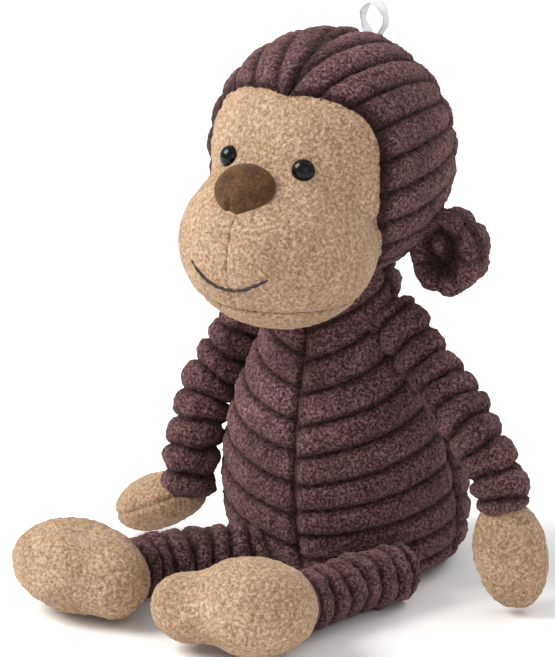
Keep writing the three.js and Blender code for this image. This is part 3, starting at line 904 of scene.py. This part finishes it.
def makeLoop():
    look = loopLook
    low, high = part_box("hang_loop")
    mid = (low + high) / 2
    foot, top = low.z - look["tail"], high.z + look["rise"]
    span = (high.x - low.x) / 2 + look["spread"]
    # one side of the loop from its tail to its top: sideways, and the share of the height
    half = [(1.2 * mm, 0.0), (1.5 * mm, 0.25), (0.95 * span, 0.55), (0.9 * span, 0.8), (0.3 * span, 0.985)]
    shape = [(-x, share) for x, share in half] + half[::-1]
    path = [Vector((mid.x + x, mid.y, foot + (top - foot) * share)) for x, share in shape]

    def size(share, angle, length):
        crease = 1 + 0.25 * np.sin(angle * 2 + share * 30)
        return look["half"][1] * np.ones(len(share)), look["half"][0] * crease

    loop, _, _, _ = tubeForm("ribbon_loop", path, (0, 1, 0), 20, 120, size)
    points = readPoints(loop.data)
    points[:, 0] += 0.35 * mm * softNoise(points, 4 * mm, 21)
    writePoints(loop.data, points)
    dress(loop, "ribbon")
    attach(loop, "head")
    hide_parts("hang_loop")


makeLoop()
print("smile and loop made")


# ears: cupped discs of cord with a fat lobed rim
earLook = {
    "half": (16.6 * mm, 9.5 * mm, 18.8 * mm), "at": 47 * mm, "cup": 5.5 * mm, "filling": 6.9 * mm,
    "ridge": 6.0 * mm, "lobes": 7, "voxel": 2.4 * mm,
}


def makeEar(side):
    look = earLook
    sign = 1 if side == "left" else -1
    mid = middle(f"ear_{side}_wadding")
    mid.x = sign * look["at"]
    form = bmesh.new()
    bmesh.ops.create_uvsphere(form, u_segments=40, v_segments=24, radius=1)
    shape = Matrix.Translation(mid) @ Matrix.Diagonal((*look["half"], 1))
    bmesh.ops.transform(form, matrix=shape, verts=form.verts)
    ear = refine(remesh(toObject(f"ear_{side}", form), look["voxel"]), 2)
    points = readPoints(ear.data)
    across = (points[:, 0] - mid.x) / look["half"][0]
    above = (points[:, 2] - mid.z) / look["half"][2]
    away = np.hypot(across, above)
    # cup the disc toward the face and bend its rim forward
    points[:, 1] -= look["cup"] * smoothStep(away, 0.35, 1.1)
    writePoints(ear.data, points)
    fillingInside(ear, f"ear_filling_{side}", f"ear_{side}", look["filling"], [f"ear_{side}_wadding"])
    around = np.arctan2(above, across * sign)
    # a fat curled rim in lobes, with a small lobe of its own in the hollow
    wander = 0.08 * softNoise(points, 9 * mm, 22)
    rim = bell(away - 0.74 + wander, 0.26)
    inner = bell(np.hypot(across * sign + 0.12, above - 0.22), 0.24)
    ridge = np.maximum(rim, 0.9 * inner)
    rimAt = 10 * mm
    rimWander = 1.5 * mm * softNoise(points, 8 * mm, 23)
    lobes = waleRidge(around * rimAt + rimWander, math.tau * rimAt / look["lobes"])
    pinch = (1 - lobes) * smoothStep(away, 0.35, 0.6)
    grow = look["ridge"] * (ridge - 0.62) - 2.6 * mm * pinch + nubble(points, 0.95 * mm)
    root = smoothStep(-across * sign, 0.25, 0.75)
    pushOut(ear.data, grow * (1 - 0.6 * root))
    # painted shade mask: darker in the hollow of the cup off the rim and in the pinches between the lobes
    addGroove(ear.data, "groove", np.clip(1.3 * ridge * (1 - 0.6 * pinch), 0, 1))
    smoothShade(ear)
    dress(ear, "brown_cord")
    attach(ear, f"ear_{side}")
    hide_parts(f"ear_{side}_front", f"ear_{side}_back")


for side in ("left", "right"):
    makeEar(side)
print("ears made")


# arms and legs: gathered tubes of cord, in rings
limbLook = {
    "arm": {"half": (11.4 * mm, 10.2 * mm), "pitch": 10.2 * mm,
            "depth": 0.36, "dent": 0.08, "sway": 1.2 * mm},
    "leg": {"half": (11.9 * mm, 11.7 * mm), "pitch": 8.4 * mm, "depth": 0.24, "dent": 0.0, "sway": 0.9 * mm},
    "around": 84, "rowStep": 0.95 * mm,
}
# paths from the shoulder to the wrist and from the hip to the ankle, in millimetres
armPaths = {
    "left": [(24, -13, 110), (35, -14.5, 101), (43.5, -15.5, 93), (52.5, -17, 86), (60.7, -18.5, 78),
             (68.5, -20, 69.8), (76.5, -21.5, 61), (82.5, -22.6, 52), (86.5, -23.6, 41)],
    "right": [(-27, -13, 105), (-36.5, -14.5, 99), (-41.5, -18.5, 89), (-46, -23, 78.5), (-49.6, -27.5, 68.5),
              (-51.2, -31.9, 54.5), (-52.2, -35.3, 42), (-52.4, -38, 30.5), (-52.2, -39.5, 24.5)],
}
legPaths = {
    "left": [(46, -30, 12), (43, -40, 12), (38.5, -56, 12), (34.9, -73.9, 12),
             (31.5, -91, 12), (29, -102, 12), (27.5, -107, 12)],
    "right": [(-12, -42, 12), (-20, -52, 12), (-31, -65, 12), (-40.5, -79, 12),
              (-43, -93, 12), (-44.5, -106, 12), (-45.5, -111, 12)],
}


def makeSleeve(kind, side, points, flat, nodes):
    look = limbLook[kind]
    path = [Vector(p) * mm for p in points]
    phase = 0.3 if side == "left" else 0.0
    seed = {"arm": 31, "leg": 41}[kind] + (side == "left")

    def rings(share, angle, length):
        sway = look["sway"] * (np.sin(angle + share * 11 + seed) + 0.35 * np.sin(3 * angle + share * 17))
        return waleRidge(share * length + sway + phase * look["pitch"], look["pitch"], 2.1)

    def size(share, angle, length):
        ring = rings(share, angle, length)
        facing = bell((angle - math.pi / 2), 0.34) * look["dent"] * ring
        grow = 1 - look["depth"] + look["depth"] * ring - facing
        return look["half"][0] * grow, look["half"][1] * grow

    length = spline(path, 200)[1]
    rows = int(length / limbLook["rowStep"])
    tube = tubeForm(f"sleeve_{kind}_{side}", path, flat, limbLook["around"], rows, size)
    sleeve, share, angle, length = tube
    at = readPoints(sleeve.data)
    ring = rings(share, angle, length)
    pushOut(sleeve.data, 1.1 * mm * softNoise(at, 6 * mm, seed) * ring + nubble(at, 0.85 * mm))
    keepAbove(sleeve.data, floorGap)
    # painted shade mask: darker in the gathers between the rings
    addGroove(sleeve.data, "groove", ring)
    dress(sleeve, "brown_cord")
    joint = {"arm": "elbow", "leg": "knee"}[kind]
    bend = pivot(f"{joint}_{side}")
    line = (path[-1] - path[0]).normalized() * look["half"][0] * 0.9
    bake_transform(sleeve, f"{kind}_{side}_upper", f"{kind}_{side}_lower", start=bend - line, end=bend + line)
    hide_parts(*nodes)

    def core(share, angle, length):
        slim = np.full(len(share), 1 - look["depth"] - 0.14)
        return look["half"][0] * slim, look["half"][1] * slim

    trimmed = [Vector(p) for p in spline(path, 200)[0][4:-4:24]]
    filling, _, _, _ = tubeForm(f"filling_{kind}_{side}", trimmed, flat, 24, 40, core)
    dress(filling, "filling")
    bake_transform(filling, f"{kind}_{side}_upper", f"{kind}_{side}_lower", start=bend - line, end=bend + line)
    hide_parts(*[node.replace("_sleeve", "_stuffing") for node in nodes])


for side in ("left", "right"):
    armNodes = [f"arm_{side}_upper_sleeve", f"arm_{side}_lower_sleeve"]
    legNodes = [f"leg_{side}_upper_sleeve", f"leg_{side}_lower_sleeve"]
    makeSleeve("arm", side, armPaths[side], (0.55, -0.84, 0.2), armNodes)
    makeSleeve("leg", side, legPaths[side], (0, 0, 1), legNodes)
print("sleeves made")


# paws: flat mitts with a seam round the edge
pawLook = {
    "half": Vector((15.8, 12.8, 24.5)) * mm, "reach": 24 * mm, "filling": 2.6 * mm, "seam": 0.9 * mm,
    "voxel": 3 * mm, "shrink": 1.2 * mm, "cap": 2.4 * mm,
    "left": {"along": (0.15, 0.08, -1), "flat": (0.55, -0.84, 0), "shift": (-2, -0.8, -0.5)},
    "right": {"along": (-27, 5, -13), "flat": (0, 0, 1), "shift": (6.5, 2.5, -7.5)},
}


def makePaw(side):
    look = pawLook
    along = Vector(look[side]["along"]).normalized()
    wide = Vector(look[side]["flat"]).cross(along).normalized()
    deep = along.cross(wide)
    turn = Matrix((wide, deep, along)).transposed().to_quaternion()
    mid = pivot(f"wrist_{side}") + along * look["reach"] + Vector(look[side]["shift"]) * mm
    half = look["half"] - Vector([look["shrink"]] * 3)
    paw = blob(f"paw_cover_{side}", [(mid, half, turn)], look["voxel"])
    away = (readPoints(paw.data) - np.array(mid)) @ np.array(deep)
    fillingInside(paw, f"paw_filling_{side}", f"paw_{side}", look["filling"], [f"paw_{side}_stuffing"])
    puff(paw, look["cap"], bell(away, 2.2 * mm))
    refine(paw, 2)
    points = readPoints(paw.data)
    away = (points - np.array(mid)) @ np.array(deep)
    seam = bell(away + 1.0 * mm * softNoise(points, 15 * mm, 51), 1.0 * mm)
    swell = 0.8 * mm * softNoise(points, 11 * mm, 52)
    pushOut(paw.data, swell + nubble(points, 0.5 * mm) - look["seam"] * seam)
    keepAbove(paw.data, floorGap)
    # painted shade mask: darker along the edge seam
    addGroove(paw.data, "groove", 1 - 0.6 * seam)
    smoothShade(paw)
    dress(paw, "tan_plush")
    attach(paw, f"paw_{side}")
    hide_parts(f"paw_{side}_front", f"paw_{side}_back")


# feet: wide soft balls with a big toe on the inner side
footLook = {
    "reach": 17 * mm, "middle": 18 * mm, "sole": 9 * mm, "dimple": 3.4 * mm, "filling": 2.6 * mm,
    "voxel": 3.5 * mm, "shrink": 1.0 * mm, "cap": 2.6 * mm,
    # the ball and the big toe, each with its place and its half size, in millimetres
    "left": {"along": (-0.25, -0.97, 0), "dimpleAt": (60, 0),
             "ball": ((6.5, 2, 1.4), (26.5, 23, 20.4)), "toe": ((-17, -6.5, -1), (17.5, 15.5, 15.5))},
    "right": {"along": (-0.3, -0.95, 0), "dimpleAt": (4, 5),
              "ball": ((-2, 7, 1.4), (29, 22.5, 19.8)), "toe": ((17, 5, -0.5), (16, 15, 17))},
}


def makeFoot(side):
    look = footLook[side]
    mid = pivot(f"ankle_{side}") + Vector(look["along"]).normalized() * footLook["reach"]
    mid.z = footLook["middle"]
    less = Vector([footLook["shrink"]] * 3)
    balls = []
    for part in ("ball", "toe"):
        offset, half = look[part]
        balls.append((mid + Vector(offset) * mm, Vector(half) * mm - less, Quaternion()))
    foot = blob(f"foot_cover_{side}", balls, footLook["voxel"])
    relax(foot.data, 3)
    points = readPoints(foot.data)
    spot = np.array(mid)[:2] + np.array(look["dimpleAt"]) * mm
    away = np.hypot(points[:, 0] - spot[0], (points[:, 1] - spot[1]) * 0.6)
    dimple = bell(away, 8 * mm) * (points[:, 2] > mid.z)
    points[:, 2] -= footLook["dimple"] * dimple
    writePoints(foot.data, points)
    fillingInside(foot, f"foot_filling_{side}", f"foot_{side}", footLook["filling"],
                  [f"foot_{side}_stuffing"])
    puff(foot, footLook["cap"], bell(points[:, 2] - footLook["sole"], 3 * mm) * 0.9)
    refine(foot, 2)
    points = readPoints(foot.data)
    seam = bell(points[:, 2] - footLook["sole"] + 1.2 * mm * softNoise(points, 18 * mm, 61), 1.0 * mm)
    grow = 0.9 * mm * softNoise(points, 12 * mm, 62) + nubble(points, 0.55 * mm) - 0.6 * mm * seam
    pushOut(foot.data, grow)
    keepAbove(foot.data, floorGap)
    # painted shade mask: darker along the sole seam
    addGroove(foot.data, "groove", 1 - 0.5 * seam)
    smoothShade(foot)
    dress(foot, "tan_plush")
    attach(foot, f"foot_{side}")
    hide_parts(f"foot_{side}_top", f"foot_{side}_sole")


for side in ("left", "right"):
    makePaw(side)
    makeFoot(side)
print("paws and feet made")


# inner pieces keep their frame shape and get a finish
innerFinish = {"washer": "washer_plastic", "pellet": "pellet_cloth"}
for name, node in frame["nodes"].items():
    if not node.hide_render:
        key = next((slotName for word, slotName in innerFinish.items() if word in name), "filling")
        node.data.materials.clear()
        node.data.materials.append(finishes[key])


# floor, light and camera
def makeFloor():
    form = bmesh.new()
    bmesh.ops.create_grid(form, x_segments=1, y_segments=1, size=60)
    floor = toObject("floor", form)
    paper = Finish("floor_paper", {"Roughness": 0.9})
    tone = paper.ramp(paper.grain(6, 2.0), [(0.3, (0.93, 0.93, 0.93, 1)), (0.7, (0.95, 0.95, 0.95, 1))])
    floor.data.materials.append(paper.out(Base_Color=tone))


lampAim = Vector((0, -0.03, 0.1))


def makeLamp(name, place, size, power, tint):
    lamp = bpy.data.lights.new(name, "AREA")
    lamp.energy = power
    lamp.size = size
    lamp.color = tint
    made = bpy.data.objects.new(name, lamp)
    made.location = place
    made.rotation_euler = (lampAim - Vector(place)).to_track_quat("-Z", "Y").to_euler()
    scene.collection.objects.link(made)


makeFloor()
makeLamp("window", (-1.2, -0.9, 1.4), 1.1, 46, (1.0, 0.985, 0.96))
makeLamp("bounce", (1.4, -1.2, 0.8), 1.4, 5, (0.97, 0.98, 1.0))
makeLamp("rim", (0.5, 1.3, 1.3), 1.0, 12, (1.0, 1.0, 1.0))
world = bpy.data.worlds.new("studio")
world.use_nodes = True
world.node_tree.nodes["Background"].inputs["Color"].default_value = (1, 1, 1, 1)
world.node_tree.nodes["Background"].inputs["Strength"].default_value = 0.6
scene.world = world

cameraLook = {"at": (1.0236, -1.5762, 0.6840), "tilt": 72.569, "turn": 33.895, "lens": 274}
lens = bpy.data.cameras.new("camera")
lens.lens = cameraLook["lens"]
camera = bpy.data.objects.new("camera", lens)
camera.location = cameraLook["at"]
camera.rotation_euler = Euler((math.radians(cameraLook["tilt"]), 0, math.radians(cameraLook["turn"])))
scene.collection.objects.link(camera)
scene.camera = camera

print("ready")
